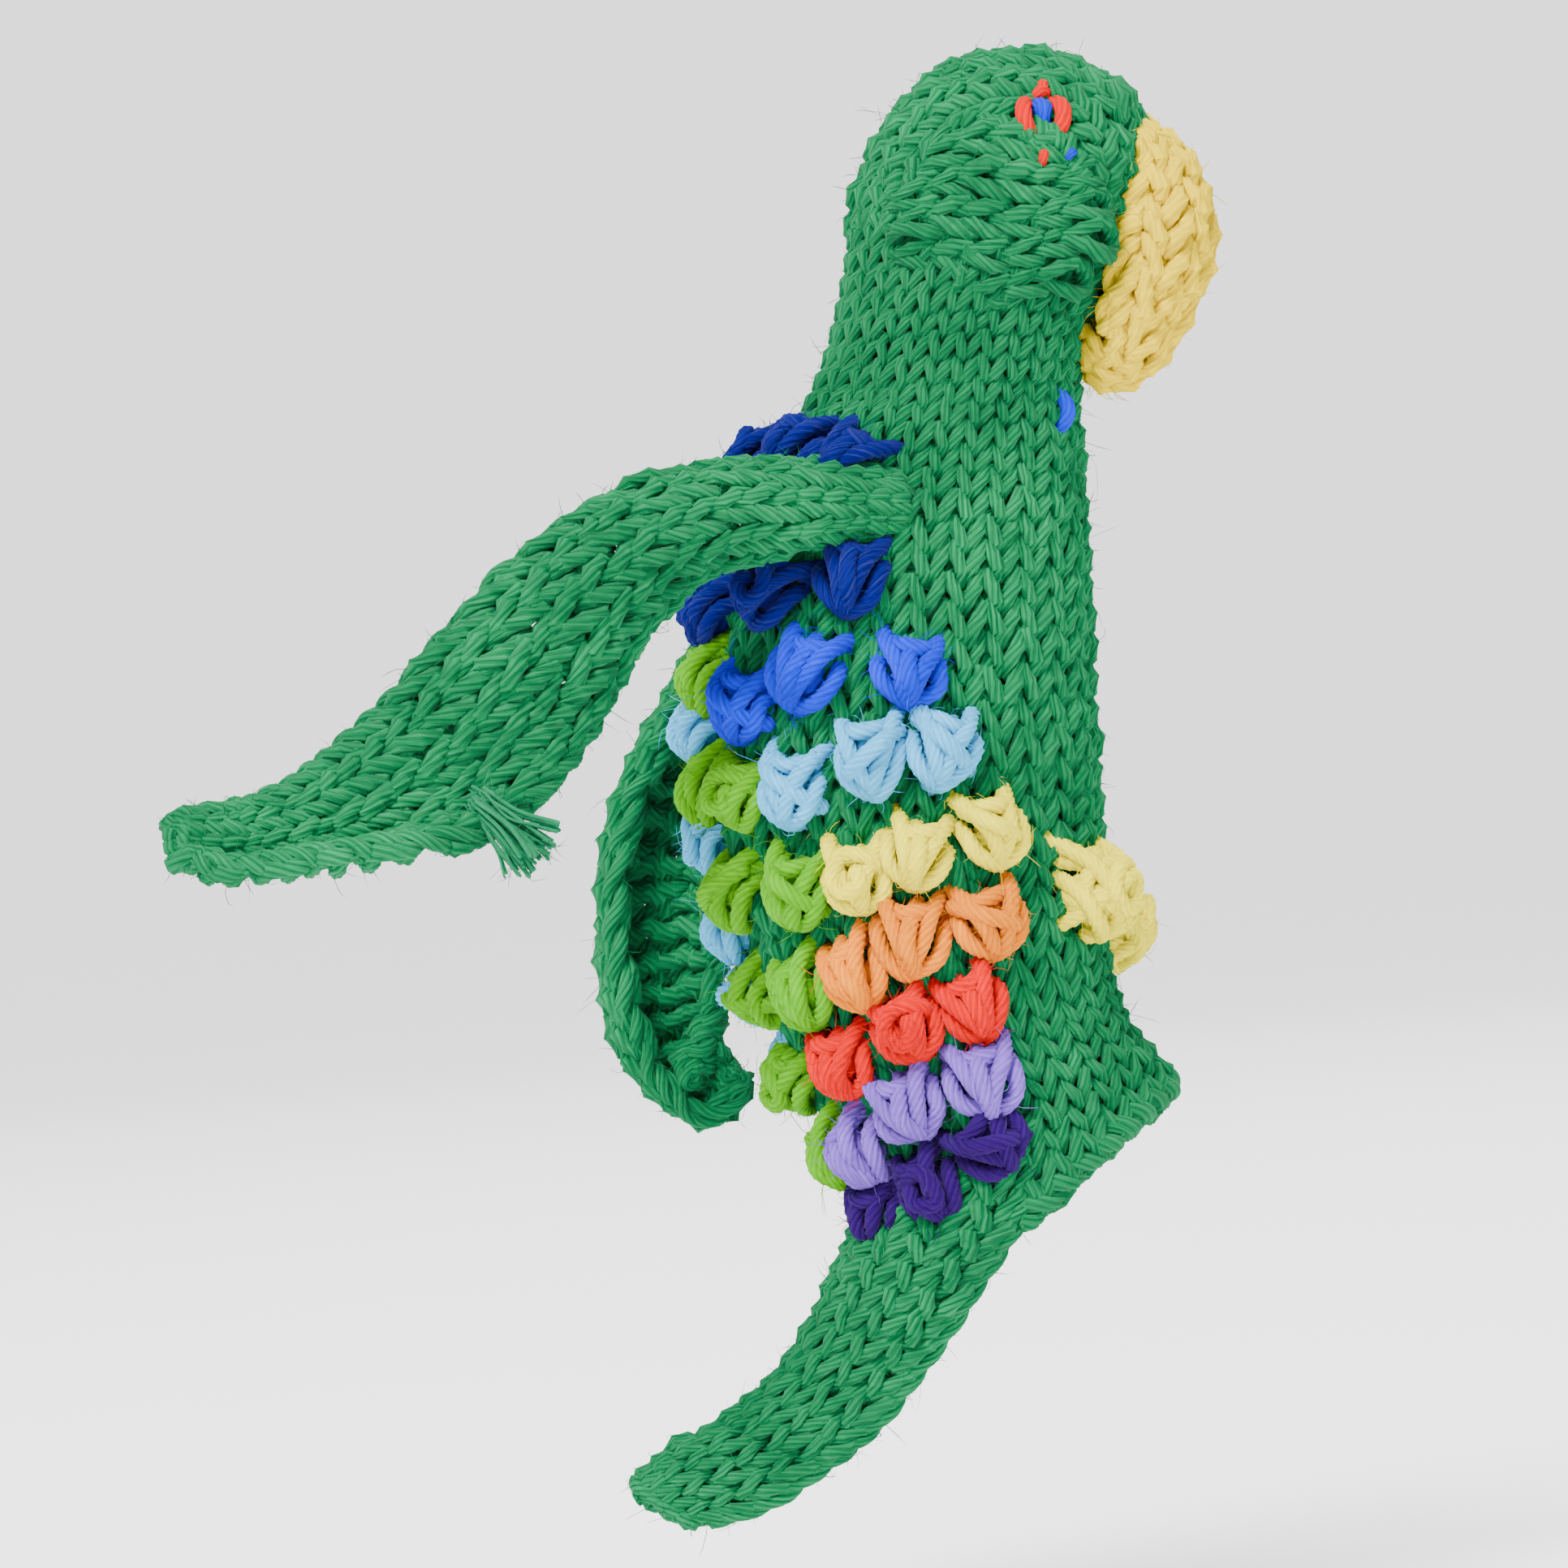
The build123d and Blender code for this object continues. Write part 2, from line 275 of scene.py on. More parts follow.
def ply_profile():
    """The outline across a yarn: one rounded lobe for each ply, of radius 1."""
    data = bpy.data.curves.new("ply_profile", "CURVE")
    data.dimensions = "2D"
    outline = data.splines.new("POLY")
    outline.points.add(SIDES - 1)
    for i in range(SIDES):
        radius = FURROW if i % PLY_POINTS == 0 else 1.0
        turn = 2 * math.pi * i / SIDES
        outline.points[i].co = (radius * math.cos(turn), radius * math.sin(turn), 0, 1)
    outline.use_cyclic_u = True
    profile = bpy.data.objects.new("ply_profile", data)
    bpy.context.scene.collection.objects.link(profile)
    profile.hide_render = profile.hide_viewport = True
    return profile


def smooth(table, at):
    """Rows of a table at fractional positions, on a smooth curve through them."""
    table = np.asarray(table, float)
    at = np.asarray(at, float)
    last = len(table) - 1
    i = np.clip(np.floor(at).astype(int), 0, last - 1)
    t = (at - i)[..., None]
    p1, p2 = table[i], table[i + 1]
    p0 = np.where((i > 0)[..., None], table[np.maximum(i - 1, 0)], 2 * p1 - p2)
    p3 = np.where((i + 2 <= last)[..., None], table[np.minimum(i + 2, last)], 2 * p2 - p1)
    curve = 2 * p1 + (p2 - p0) * t + (2 * p0 - 5 * p1 + 4 * p2 - p3) * t * t
    return 0.5 * (curve + (3 * p1 - p0 - 3 * p2 + p3) * t**3)


def strand_of(points, radius=YARN, spacing=0.6):
    """A free strand through a few points, with rounded ends: (points, radii, closed)."""
    points = np.asarray(points, float)
    length = np.linalg.norm(np.diff(points, axis=0), axis=1).sum()
    count = max(6, int(length / spacing) + 1)
    line = smooth(points, np.linspace(0, len(points) - 1, count))
    first, last = line[0] - line[1], line[-1] - line[-2]
    first, last = first / np.linalg.norm(first), last / np.linalg.norm(last)
    caps = radius * np.array([0.55, 0.45])
    head = [line[0] + first * caps.sum(), line[0] + first * caps[0]]
    foot = [line[-1] + last * caps[0], line[-1] + last * caps.sum()]
    line = np.vstack([head, line, foot])
    radii = np.full(len(line), float(radius))
    radii[[0, -1]], radii[[1, -2]] = 0.0, radius * 0.72
    return line, radii, False


def stray_fibres(mesh, count):
    """Fine fibres that stand away from the yarn, each starting on its surface."""
    size = len(mesh.vertices)
    places, normals = np.empty(size * 3), np.empty(size * 3)
    mesh.vertices.foreach_get("co", places)
    mesh.vertices.foreach_get("normal", normals)
    picks = rng.integers(0, size, count)
    places = places.reshape(-1, 3)[picks] / MM + [0, 0, SEAT]
    normals = normals.reshape(-1, 3)[picks]
    strands = []
    for here, normal in zip(places, normals):
        way = rng.normal(0, 1, 3)
        reach = rng.uniform(0.4, 1.3)
        rise = rng.uniform(0.15, 0.55) * reach
        line = [
            here,
            here + (way * 0.4 + normal * 0.3) * reach * 0.4 + normal * rise * 0.5,
            here + way * 0.55 * reach + normal * rise,
            here + way * 0.95 * reach + normal * rise * 0.5,
        ]
        thin = rng.uniform(0.016, 0.030)
        strands.append((np.array(line), np.array([thin, thin, thin, 0.0]), False))
    return strands


def spin(name, strands, material, body=None, fuzz=0, turn=PLY_TURN):
    """One mesh piece of many strands, each an open or closed (points, radii, closed), in mm."""
    mesh = spun_mesh(name, strands, True, turn)
    if fuzz:
        fibres = spun_mesh(name, stray_fibres(mesh, fuzz), False)
        bm = bmesh.new()
        bm.from_mesh(mesh)
        bm.from_mesh(fibres)
        bm.to_mesh(mesh)
        bm.free()
        bpy.data.meshes.remove(fibres)
    mesh.materials.clear()
    mesh.materials.append(material)
    mesh.polygons.foreach_set("use_smooth", [True] * len(mesh.polygons))
    piece = bpy.data.objects.new(name, mesh)
    bpy.context.scene.collection.objects.link(piece)
    if body:
        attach(piece, body)
    return piece


def mark_fibres(mesh, vectors, height):
    """Stores where the fibres run, and 1 on a ply or 0 in a furrow, at every vertex; the material
    darkens the furrows with it as painted shade.
    """
    attribute = mesh.attributes.new("strand", "FLOAT_VECTOR", "POINT")
    attribute.data.foreach_set("vector", np.asarray(vectors, np.float32).ravel())
    attribute = mesh.attributes.new("ply", "FLOAT", "POINT")
    attribute.data.foreach_set("value", np.asarray(height, np.float32))


def spun_mesh(name, strands, profile, turn=PLY_TURN):
    """The strands swept with the plies' outline, or with a plain fine one."""
    data = bpy.data.curves.new(name, "CURVE")
    data.dimensions = "3D"
    data.twist_mode = "MINIMUM"
    sides = SIDES if profile else 4
    if profile:
        data.bevel_mode, data.bevel_object = "OBJECT", PROFILE
    else:
        data.bevel_depth, data.bevel_resolution = 1.0, 0
    along, girth, lobe = [], [], []
    for points, radii, closed in strands:
        count = len(points)
        spline = data.splines.new("POLY")
        spline.points.add(count - 1)
        placed = (points - [0, 0, SEAT]) * MM
        spline.points.foreach_set("co", np.hstack([placed, np.ones((count, 1))]).ravel())
        spline.points.foreach_set("radius", np.asarray(radii, float) * MM)
        steps = np.linalg.norm(np.diff(points, axis=0), axis=1)
        run = np.concatenate([[0], np.cumsum(steps)])
        whole = run[-1] + (np.linalg.norm(points[0] - points[-1]) if closed else 0)
        lobes = max(1, round(whole / turn * PLIES)) if closed else whole / turn * PLIES
        tilt = run / max(whole, 1e-6) * lobes * 2 * math.pi / PLIES
        spline.points.foreach_set("tilt", tilt)
        spline.use_cyclic_u, spline.use_smooth = closed, True
        along.append(np.repeat(run * 0.35 + rng.uniform(0, 900), sides))
        girth.append(np.tile(np.arange(sides) * 2 * math.pi / sides, count))
        lobe.append(np.tile(np.arange(sides) % PLY_POINTS != 0, count))
    curve = bpy.data.objects.new(name, data)
    bpy.context.scene.collection.objects.link(curve)
    bpy.context.view_layer.update()
    graph = bpy.context.evaluated_depsgraph_get()
    mesh = bpy.data.meshes.new_from_object(curve.evaluated_get(graph))
    bpy.data.objects.remove(curve)
    bpy.data.curves.remove(data)
    mesh.name = name
    girth = np.concatenate(girth)
    vectors = np.stack([np.concatenate(along), 5.5 * np.cos(girth), 5.5 * np.sin(girth)], 1)
    mark_fibres(mesh, vectors, np.concatenate(lobe) if profile else np.ones(len(girth)))
    bm = bmesh.new()
    bm.from_mesh(mesh)
    bmesh.ops.remove_doubles(bm, verts=bm.verts, dist=2e-6)
    bmesh.ops.recalc_face_normals(bm, faces=bm.faces)
    bm.to_mesh(mesh)
    bm.free()
    return mesh


# ---------------------------------------------------------------- knitting


def on_skin(skin, u, v):
    """Points, outward normals and wale widths of a skin at wale u and row v."""
    step = 0.02
    here = skin(u, v)
    du = (skin(u + step, v) - skin(u - step, v)) / (2 * step)
    dv = (skin(u, v + step) - skin(u, v - step)) / (2 * step)
    normal = np.cross(du, dv)
    normal /= np.maximum(np.linalg.norm(normal, axis=1, keepdims=True), 1e-9)
    return here, normal, np.linalg.norm(du, axis=1)


def wander(count, every, size):
    """Slow random drift: count values that change direction about once in every steps."""
    knots = rng.normal(0, size, count // every + 4)
    return smooth(knots[:, None], np.linspace(0, len(knots) - 2, count))[:, 0]


def loop_row(skin, row, low, high, closed=False, rise=RISE, fat=1.0):
    """The yarn of one knitted row of V-shaped loops, from wale low to wale high."""
    count = int(round((high - low) * STEPS))
    row = row + rng.normal(0, 0.05)
    shift = rng.normal(0, 0.05)
    t = low + (high - low) * np.arange(count + (not closed)) / count
    turn = 2 * math.pi * t
    n = len(t)
    u = t + shift + LEAN * np.sin(2 * turn) + wander(n, STEPS, 0.05) * (0.6 if closed else 1)
    v = row + rise * (1 + wander(n, STEPS, 0.06)) * np.cos(turn)
    v += wander(n, STEPS, 0.05) * (0 if closed else 1)
    here, normal, width = on_skin(skin, u, v)
    depth = -DEPTH * np.cos(2 * turn) * (1 + wander(n, STEPS, 0.15)) + wander(n, STEPS, 0.13)
    if closed:
        fade = np.minimum(1, np.minimum(np.arange(n), n - 1 - np.arange(n)) / STEPS)
        depth = depth * fade - DEPTH * np.cos(2 * turn) * (1 - fade)
    radii = np.clip(0.228 * width, 0.5, YARN + 0.08) * fat * (1 + wander(n, STEPS, 0.06))
    return here + normal * depth[:, None], radii, closed


def knit_strip(skin, rows, wales, rise=RISE, fat=1.0):
    """One continuous yarn that goes back and forth along the rows, turning at each edge."""
    lines, radii = [], []
    for i, row in enumerate(rows):
        half = (wales(i) if callable(wales) else wales) / 2
        line, radius, _ = loop_row(skin, row, -half, half, rise=rise, fat=fat)
        if i % 2:
            line, radius = line[::-1], radius[::-1]
        if lines:
            gap = lines[-1][-1], line[0]
            side = line[0] - line[min(3, len(line) - 1)]
            side = side / max(np.linalg.norm(side), 1e-6)
            bend = (gap[0] + gap[1]) / 2 + 0.15 * side
            lines.append(smooth([lines[-1][-1], bend, line[0]], [0.5, 1.0, 1.5]))
            radii.append(np.full(3, radius[0]))
        lines.append(line)
        radii.append(radius)
    line, radius = np.vstack(lines), np.concatenate(radii)
    return taper(line, radius)


def edge_chain(skin, u, low, high, pitch):
    """The chain of edge loops that runs along one side of a strip."""
    v = np.linspace(low, high, int((high - low) * 8))
    strands = []
    for start in (0, math.pi):
        wind = 2 * math.pi * v / pitch + start
        here, normal, _ = on_skin(skin, np.full(len(v), u) + 0.16 * np.sin(wind), v)
        line = here + normal * (0.42 * np.cos(wind) + wander(len(v), 8, 0.08))[:, None]
        strands.append(taper(line, np.full(len(v), 0.55) * (1 + wander(len(v), 8, 0.06))))
    return strands


def side_chains(skin, half, low, high, pitch=2.0):
    """The edge chains along both sides of a strip."""
    return [s for side in (-1, 1) for s in edge_chain(skin, side * half, low, high, pitch)]


def end_cord(skin, v, half):
    """A twisted pair of strands that closes the end of a strip."""
    u = np.linspace(-half, half, int(half * 22))
    strands = []
    for start in (0, math.pi):
        wind = 2 * math.pi * u * 0.9 + start
        here, normal, _ = on_skin(skin, u, v + 0.12 * np.sin(wind))
        line = here + normal * (0.45 * np.cos(wind))[:, None]
        strands.append(taper(line, np.full(len(u), 0.6)))
    return strands


def taper(line, radii):
    """Closes both ends of an open strand to a point."""
    radii = radii.copy()
    radii[[0, -1]] = 0.0
    return line, radii, False


# ---------------------------------------------------------------- skins: the fabric's surfaces

# The trunk and neck, upwards: back x, back z, front x, front z, half width.
TRUNK = [
    (-8.6, 1.4, 10.5, 15.1, 9.2),
    (-12.2, 9.0, 9.6, 19.3, 9.8),
    (-15.6, 18.0, 9.5, 25.0, 10.5),
    (-17.8, 27.0, 9.7, 31.0, 10.9),
    (-18.4, 36.5, 9.8, 37.8, 10.8),
    (-17.6, 45.0, 10.2, 44.8, 10.5),
    (-15.8, 52.0, 10.4, 51.3, 10.0),
    (-12.8, 57.5, 10.4, 56.8, 9.4),
    (-9.6, 62.3, 10.4, 62.0, 9.0),
    (-7.4, 67.5, 11.8, 67.0, 8.9),
    (-6.0, 73.0, 15.2, 72.2, 9.1),
]
TRUNK_ROWS = 31
TRUNK_WALES = 26
EVEN = 0.072  # evens out the wales' widths round the trunk's oval
INSET = 1.0  # the yarn's centre runs this far inside the fabric's outer face

# The head's dome: direction round its centre from the back, and distance from it.
DOME_CENTRE = (5.5, 0.0, 74.0)
DOME = [(-12, 11.4), (2, 11.3), (24, 11.2), (51, 11.6), (80, 12.9), (101, 13.4), (120, 13.8),
        (141, 13.8), (150, 13.4), (168, 11.0), (188, 9.7), (205, 9.4)]
DOME_WIDTH = 9.3
DOME_ROWS = 17
DOME_START, DOME_SPAN = 6, 172  # where the first row lies round the dome, and how far the rest go
WALE_TURN = 18.0  # degrees over the crown that one wale takes


def tube_point(table, turn, level, inset):
    """Point at an angle round a tube (0 at the spine, 90 on the bird's right)."""
    back_x, back_z, front_x, front_z, width = smooth(table, level).T
    c, s = np.cos(turn), np.sin(turn)
    run = np.hypot(front_x - back_x, front_z - back_z)
    shrink = 1 - 2 * inset / run
    x = (back_x + front_x) / 2 - (front_x - back_x) / 2 * shrink * c
    z = (back_z + front_z) / 2 - (front_z - back_z) / 2 * shrink * c
    return np.stack([x, -(width - inset) * s, z], 1)


def trunk_turn(u):
    """The angle round the trunk's oval of a wale."""
    turn = 2 * math.pi * u / TRUNK_WALES
    return turn + EVEN * np.sin(2 * turn)


def trunk_skin(u, v):
    return tube_point(TRUNK, trunk_turn(u), v / TRUNK_ROWS * (len(TRUNK) - 1), INSET)


def dome_skin(u, v):
    """Wales run from the back of the head over the crown to the beak."""
    degrees = v / DOME_ROWS * DOME_SPAN + DOME_START
    around, across = np.radians(degrees), np.radians(u * WALE_TURN)
    angles, reaches = np.array(DOME, float).T
    reach = sum(np.interp(degrees + ease, angles, reaches) for ease in (0, 6, -6)) / 3 - INSET
    x = DOME_CENTRE[0] - reach * np.cos(around) * np.cos(across)
    z = DOME_CENTRE[2] + reach * np.sin(around) * np.cos(across)
    y = -(DOME_WIDTH - INSET) * np.sin(across)
    return np.stack([x, y, z], 1)


def cheek_skin(side):
    """The side of the head: wales run forwards, from the nape to the beak."""

    def skin(u, v):
        x = 5.2 + (v - 3.0) * 2.4
        z = 74.0 + side * u * 2.5 + 0.5 * np.sin(v * 1.3 + u)
        reach = np.hypot((x - DOME_CENTRE[0]) / 13.2, (z - DOME_CENTRE[2]) / 13.0)
        y = (DOME_WIDTH - INSET + 0.25) * np.sqrt(np.clip(1 - reach**2, 0.02, 1))
        return np.stack([x, side * y, z], 1)

    return skin


def hem_line(turn):
    """The mouth's edge in front of the tail, with its pointed front corner."""
    point = np.exp(-(((np.degrees(turn) % 360 - 180) / 14) ** 2))
    x = 1.7 - 10.3 * np.cos(turn) + 0.9 * point
    z = 1.9 + 0.86 * (x - 1.65) - 0.012 * (x - 1.65) ** 2
    return np.stack([x, -8.7 * np.sin(turn), z], 1)


def front_skin(u, v):
    """The front panel between the trunk's lowest row (v 0) and the hem (v -3)."""
    top = trunk_skin(u, np.zeros_like(u))
    low = hem_line(trunk_turn(u))
    share = (-v / 3.0)[:, None]
    return top + (low - top) * share


# The tail, from its tip to its root: spine x, z, front-edge x, z, half thickness.
TAIL = [
    (-27.7, -16.3, -23.3, -19.3, 1.2),
    (-25.3, -14.5, -18.9, -18.2, 2.0),
    (-22.0, -13.0, -14.6, -15.8, 2.3),
    (-18.6, -10.8, -11.0, -13.4, 2.6),
    (-15.6, -7.9, -7.5, -9.6, 3.4),
    (-13.2, -4.7, -4.4, -5.7, 5.6),
    (-11.6, -1.8, -1.4, -1.5, 7.9),
    (-10.3, 0.3, 1.0, 2.3, 8.7),
    (-8.8, 2.2, 2.2, 7.2, 8.6),
]
TAIL_ROWS = 15
TAIL_WALES = 9


def tail_skin(u, v):
    """The back half of a flattened tube, open along its front edge."""
    table = smooth(TAIL, np.clip(v / TAIL_ROWS, -0.05, 1.05) * (len(TAIL) - 1))
    spine_x, spine_z, edge_x, edge_z, half = table.T
    turn = np.clip(u / (TAIL_WALES / 2), -1.15, 1.15) * math.pi / 2
    c, s = np.cos(turn), np.sin(turn)
    x = edge_x + (spine_x - edge_x) * c
    z = edge_z + (spine_z - edge_z) * c
    return np.stack([x, -half * s, z], 1)


WING_WALES = 4
# Each wing from its tip to its root: x, distance out, z, half width, curl of its two edges.
RAISED_WING = [
    (-55.0, 29.0, 33.4, 2.1, 1.6, -0.9),
    (-51.7, 27.6, 32.5, 3.2, 2.3, -0.9),
    (-47.8, 25.8, 32.9, 3.9, 2.4, -1.0),
    (-43.2, 23.9, 33.9, 5.4, 2.2, -1.0),
    (-37.8, 22.0, 37.0, 6.1, 1.1, -0.9),
    (-32.4, 20.4, 42.2, 6.2, 0.1, -0.9),
    (-27.4, 18.9, 47.5, 5.8, -0.8, -1.0),
    (-22.6, 17.4, 51.3, 5.3, -1.2, -1.2),
    (-17.4, 15.6, 53.6, 4.7, -1.4, -1.4),
    (-12.4, 13.6, 54.2, 4.2, -1.5, -1.5),
    (-8.0, 11.6, 54.1, 3.4, -1.4, -1.4),
    (-4.2, 9.9, 53.9, 2.4, -1.2, -1.2),
]
HANGING_WING = [
    (-19.9, 14.4, 13.4, 2.1, -1.2, -1.2),
    (-21.0, 15.2, 11.7, 3.8, -2.0, -1.6),
    (-23.4, 16.4, 13.7, 5.2, -2.2, -1.5),
    (-24.9, 17.4, 18.6, 6.2, -2.2, -1.1),
    (-24.9, 18.2, 25.0, 6.4, -2.1, -0.9),
    (-23.3, 18.4, 31.6, 6.3, -2.0, -0.9),
    (-19.9, 17.8, 38.0, 6.0, -1.9, -1.0),
    (-16.2, 16.4, 43.8, 5.4, -1.8, -1.2),
    (-12.4, 14.0, 48.6, 4.4, -1.6, -1.4),
    (-8.6, 11.4, 52.0, 3.4, -1.4, -1.4),
    (-5.0, 9.7, 53.6, 2.4, -1.2, -1.2),
]


def wing_skin(table, side, rows, wales, facing):
    """A strip with curled edges, whose knit side faces the given way."""

    def skin(u, v):
        at = np.clip(v / rows, -0.03, 1.03) * (len(table) - 1)
        here, step = smooth(table, at), 0.05
        along = (smooth(table, at + step) - smooth(table, at - step))[:, :3] * [1, side, 1]
        along /= np.linalg.norm(along, axis=1, keepdims=True)
        across = np.cross(along, facing)
        across /= np.linalg.norm(across, axis=1, keepdims=True)
        normal = np.cross(across, along)
        q = u / (wales / 2)
        curl = np.where(q > 0, here[:, 4], here[:, 5])
        curl = np.where(np.abs(curl) < 0.05, 0.05, curl)
        flat = here[:, 3] * np.sin(curl * q) / curl
        rise = here[:, 3] * (1 - np.cos(curl * q)) / curl
        return here[:, :3] * [1, side, 1] + across * flat[:, None] + normal * rise[:, None]

    return skin


# The beak, downwards: ridge x, z, half width round its ridge, curl.
BEAK = [
    (15.8, 80.4, 3.4, 0.9),
    (17.9, 79.2, 5.4, 1.3),
    (19.4, 76.8, 7.2, 1.7),
    (20.3, 73.4, 8.4, 1.95),
    (19.5, 69.4, 8.4, 1.95),
    (17.2, 65.2, 7.4, 1.8),
    (14.4, 62.3, 5.8, 1.6),
    (11.9, 62.4, 4.2, 1.3),
    (10.7, 64.6, 3.0, 0.9),
]
BEAK_ROWS = 11
BEAK_WALES = 5


def beak_skin(u, v):
    at = np.clip(v / BEAK_ROWS, -0.03, 1.03) * (len(BEAK) - 1)
    here = smooth(BEAK, at)
    along = (smooth(BEAK, at + 0.05) - smooth(BEAK, at - 0.05))[:, :2]
    along /= np.linalg.norm(along, axis=1, keepdims=True)
    outwards = np.stack([-along[:, 1], along[:, 0]], 1)
    q = -u / (BEAK_WALES / 2)
    curve = here[:, 2] / here[:, 3]
    side = curve * np.sin(here[:, 3] * q)
    back = curve * (1 - np.cos(here[:, 3] * q))
    x = here[:, 0] - outwards[:, 0] * back
    z = here[:, 1] - outwards[:, 1] * back
    return np.stack([x, side, z], 1)


# ---------------------------------------------------------------- knots and embroidery


def bobble_strands(here, up, normal, size=1.0):
    """A knotted feather: upright strands gathered into a fist, and strands wrapped round them."""
    across = np.cross(up, normal)
    lean = rng.normal(0, 0.22)
    up, across = (
        up * math.cos(lean) + across * math.sin(lean),
        across * math.cos(lean) - up * math.sin(lean),
    )
    across = across * rng.choice([-1, 1])
    wide, tall, proud = 1.12 * size * rng.uniform(0.92, 1.08, 3)

    def place(path, radius=YARN):
        path = np.array(path, float) * [wide, tall, proud] + rng.normal(0, 0.12, (len(path), 3))
        line = here + path[:, :1] * across + path[:, 1:2] * up + path[:, 2:3] * normal
        return strand_of(line, 1.08 * radius * (0.85 + 0.15 * size), 0.56)

    left = [(-2.0, 2.6, -1.4), (-1.5, 1.3, 1.2), (-0.8, -0.5, 2.2), (-0.1, -2.0, 1.5),
            (0.2, -2.4, -0.3)]
    loop = [(-1.7, 0.9, -1.2), (-2.0, 0.0, 0.8), (-1.6, -1.5, 1.3), (-0.3, -2.4, 0.8),
            (0.5, -2.3, -0.4)]
    kind = rng.integers(3)
    made = [place(left), place([(-x, y + 0.2, z) for x, y, z in left]), place(loop)]
    made.append(place([(-x, y, z) for x, y, z in loop]))
    if kind == 0:
        made.append(place([(-0.2, 1.7, 0.0), (0.0, 0.8, 2.0), (0.1, -0.8, 2.7), (0.0, -2.1, 1.6)]))
    elif kind == 1:
        made.append(place([(-1.9, -0.4, 0.2), (-1.2, 0.9, 1.9), (0.3, 1.2, 2.4), (1.2, 0.1, 2.5),
                           (0.7, -1.1, 2.6), (-0.5, -0.7, 2.7), (-0.5, 0.2, 2.4)]))
    else:
        made.append(place([(-1.9, -1.4, 0.3), (-1.0, -0.7, 2.2), (0.6, 0.4, 2.7), (1.8, 1.3, 0.8)]))
    made.append(place([(-1.7, 1.4, -0.6), (-0.7, 1.2, 1.5), (0.6, 1.3, 1.6), (1.7, 1.6, -0.6)]))
    made.append(place([(-0.3, 0.9, 0.2), (0.0, 0.0, 0.8), (0.3, -1.0, 0.2)], 1.2))
    return made


def nearest_on_trunk(x, z, side=1):
    """Wale and row of the point on one side of the trunk that is seen at x, z from that side."""
    turn, level = np.meshgrid(np.linspace(3, 177, 88), np.linspace(0, TRUNK_ROWS, 125))
    u = turn.ravel() / 360 * TRUNK_WALES
    v = level.ravel()
    seen = trunk_skin(u, v)
    best = np.argmin((seen[:, 0] - x) ** 2 + (seen[:, 2] - z) ** 2)
    return side * u[best], v[best]


def stand_on_trunk(u, v, lift=0.7):
    """Place, upward and outward directions of a knot on the trunk."""
    u, v = np.array([u]), np.array([v])
    here, normal, _ = on_skin(trunk_skin, u, v)
    up = (trunk_skin(u, v + 0.1) - trunk_skin(u, v - 0.1))[0]
    up -= normal[0] * (up @ normal[0])
    return here[0] + normal[0] * lift, up / np.linalg.norm(up), normal[0]


def on_dome(x, z, side):
    """Place, forward, upward and outward directions on the head's side, seen at x, z."""
    turn, rows = np.meshgrid(np.linspace(0, 4.9, 99), np.linspace(0, DOME_ROWS, 137))
    u, v = -turn.ravel() * side, rows.ravel()
    seen = dome_skin(u, v)
    best = np.argmin((seen[:, 0] - x) ** 2 + (seen[:, 2] - z) ** 2)
    here, normal, _ = on_skin(dome_skin, u[best : best + 1], v[best : best + 1])
    normal = normal[0] if normal[0] @ (seen[best] - DOME_CENTRE) > 0 else -normal[0]
    up = np.array([0, 0, 1.0]) - normal * normal[2]
    up /= np.linalg.norm(up)
    ahead = np.cross(up, normal)
    if ahead[0] < 0:
        ahead = -ahead
    return here[0], ahead, up, normal


# ---------------------------------------------------------------- making the puppet

add_camera()
add_studio()
FIBRE = fibre_group()
PROFILE = ply_profile()

GREEN = yarn_material("green_yarn", (0.0, 0.525, 0.30), 0.15, 0.06)
LOOSE = yarn_material("green_loose_plies", (0.08, 0.60, 0.38), 0.4, 0.2)
YELLOW = yarn_material("beak_yellow_yarn", (1.0, 0.86, 0.0), 0.6, 0.0)
PALE = yarn_material("pale_yellow_yarn", (1.0, 0.94, 0.16), 0.65, 0.05)
NAVY = yarn_material("navy_yarn", (0.0, 0.06, 0.47), 0.3, 0.08)
ROYAL = yarn_material("royal_blue_yarn", (0.0, 0.17, 0.95), 0.35, 0.04)
SKY = yarn_material("sky_blue_yarn", (0.34, 0.78, 1.0), 0.5, 0.2)
LIME = yarn_material("lime_yarn", (0.38, 0.73, 0.0), 0.4, 0.04)
ORANGE = yarn_material("orange_yarn", (1.0, 0.56, 0.0), 0.5, 0.03)
RED = yarn_material("red_yarn", (0.95, 0.0, 0.0), 0.4, 0.02)
LILAC = yarn_material("lilac_yarn", (0.54, 0.38, 0.86), 0.4, 0.2)
PURPLE = yarn_material("purple_yarn", (0.19, 0.0, 0.40), 0.3, 0.03)
STUFFING = yarn_material("stuffing_fibre", (0.93, 0.92, 0.88), 0.7)

# The two ends of each stretch of fabric that crosses a joint.
RAISED_ROOT = ((-0.004, -0.0095, (54 - SEAT) * MM), (-0.012, -0.0135, (54.5 - SEAT) * MM))
HANGING_ROOT = ((-0.005, 0.0095, (53.5 - SEAT) * MM), (-0.0115, 0.013, (50 - SEAT) * MM))


